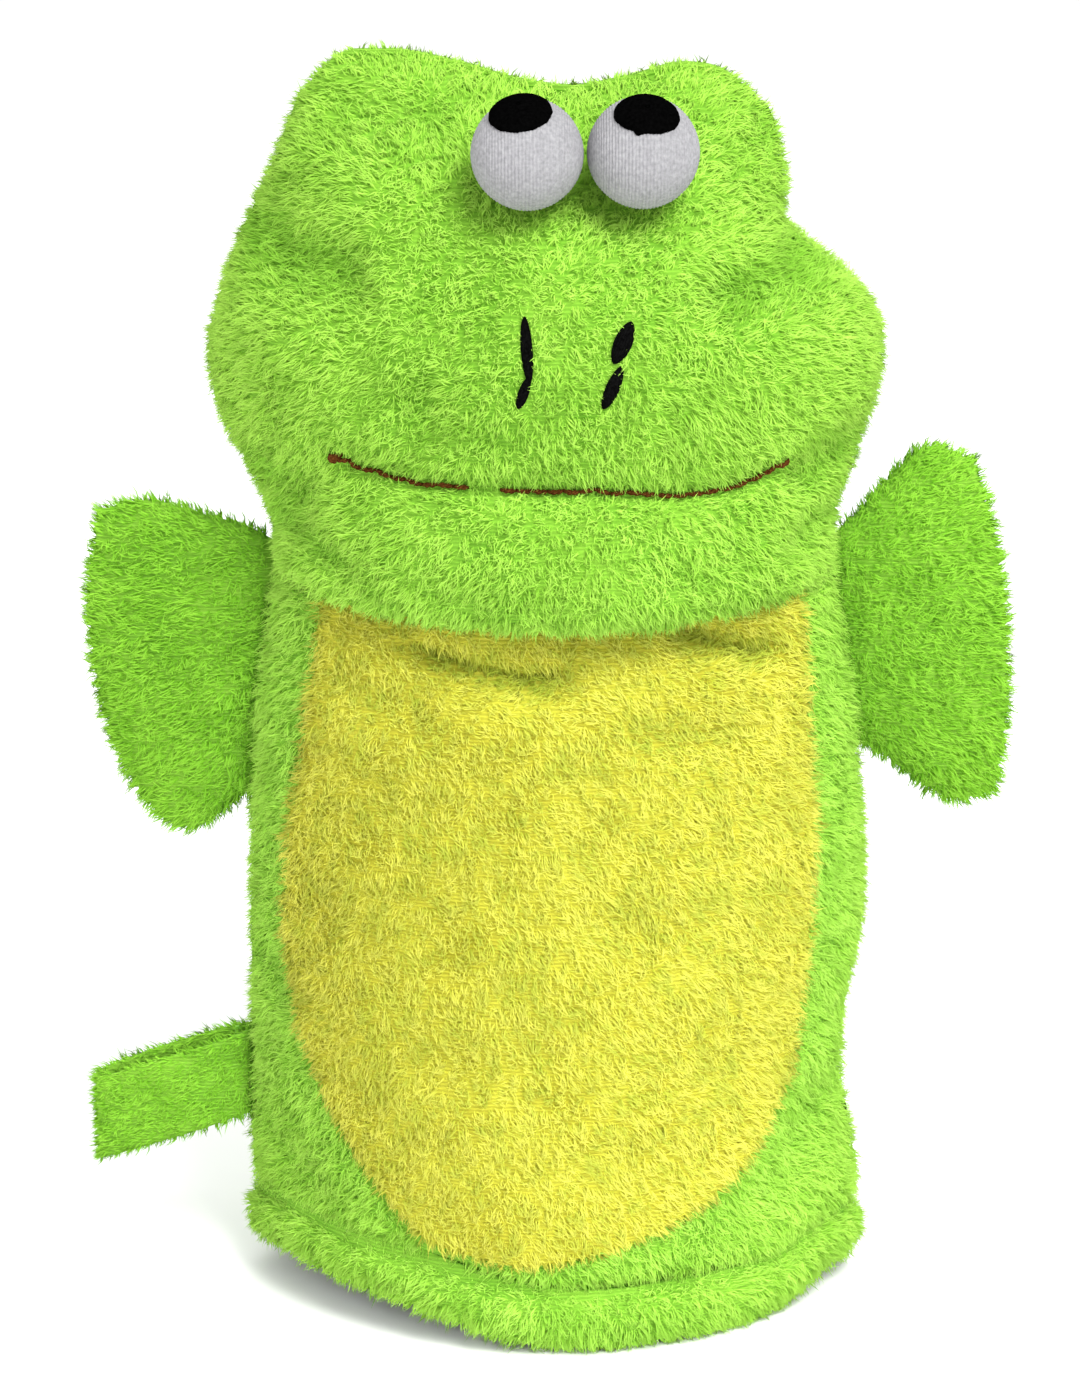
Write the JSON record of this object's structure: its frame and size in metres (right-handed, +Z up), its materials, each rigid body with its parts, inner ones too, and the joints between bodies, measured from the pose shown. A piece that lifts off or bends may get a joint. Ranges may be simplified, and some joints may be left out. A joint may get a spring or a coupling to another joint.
{
  "type": "hand puppet",
  "caption": "Soft terry-cloth frog hand puppet: a mitt body with a nodding head, two padded flippers, ball eyes and a hanging loop at the side.",
  "frame": {"origin": "centre of the hand opening, on the plane that the hem stands on", "axes": "+Z up, from the hem to the crown; the face looks along -Y; +X to the right as seen from the front"},
  "size_m": [0.1786, 0.0897, 0.2413],
  "materials": {
    "green_plush": "long looped terry pile",
    "yellow_plush": "long looped terry pile",
    "white_knit": "ribbed knit",
    "black_felt": "matt felt",
    "black_floss": "twisted embroidery floss",
    "brown_floss": "twisted embroidery floss",
    "green_thread": "spun sewing thread",
    "white_thread": "spun sewing thread",
    "wadding": "polyester wadding",
    "foam_ball": "moulded foam"
  },
  "bodies": {
    "mitt": {"front_body_panel": "green_plush", "back_body_panel": "green_plush", "belly_panel": "yellow_plush", "belly_stitches": "green_thread", "hem_band": "green_plush", "hem_stitches": "green_thread", "neck_seam_stitches": "green_thread", "side_seam_allowance_left": "green_plush", "side_seam_allowance_right": "green_plush", "flipper_seam_thread_left": "green_thread", "flipper_seam_thread_right": "green_thread", "loop_seam_thread": "green_thread"},
    "head": {"face_panel": "green_plush", "head_back_panel": "green_plush", "chin_underfold": "green_plush", "crown_seam_allowance": "green_plush", "mouth_stitches": "brown_floss", "nostril_stitches_left": "black_floss", "nostril_stitches_right": "black_floss", "eye_core_left": "foam_ball", "eye_core_right": "foam_ball", "eye_cover_left": "white_knit", "eye_cover_right": "white_knit", "pupil_left": "black_felt", "pupil_right": "black_felt", "eye_thread_left": "white_thread", "eye_thread_right": "white_thread"},
    "left_flipper": {"flipper_front_left": "green_plush", "flipper_back_left": "green_plush", "flipper_wadding_left": "wadding"},
    "right_flipper": {"flipper_front_right": "green_plush", "flipper_back_right": "green_plush", "flipper_wadding_right": "wadding"},
    "loop": {"hanging_loop": "green_plush"}
  },
  "joints": [
    {"name": "neck_nod", "type": "hinge", "parent": "mitt", "child": "head", "pos_m": [0, -0.026, 0.143], "axis": [1, 0, 0], "range_deg": [-6, 30]},
    {"name": "left_flipper_flap", "type": "hinge", "parent": "mitt", "child": "left_flipper", "pos_m": [-0.0595, 0, 0.096], "axis": [0.0715, 0, 0.9974], "range_deg": [-50, 55]},
    {"name": "right_flipper_flap", "type": "hinge", "parent": "mitt", "child": "right_flipper", "pos_m": [0.0595, 0, 0.106], "axis": [0.077, 0, -0.997], "range_deg": [-50, 55]},
    {"name": "loop_swing", "type": "hinge", "parent": "mitt", "child": "loop", "pos_m": [-0.0612, 0, 0.031], "axis": [0, 0, 1], "range_deg": [-80, 80]}
  ]
}
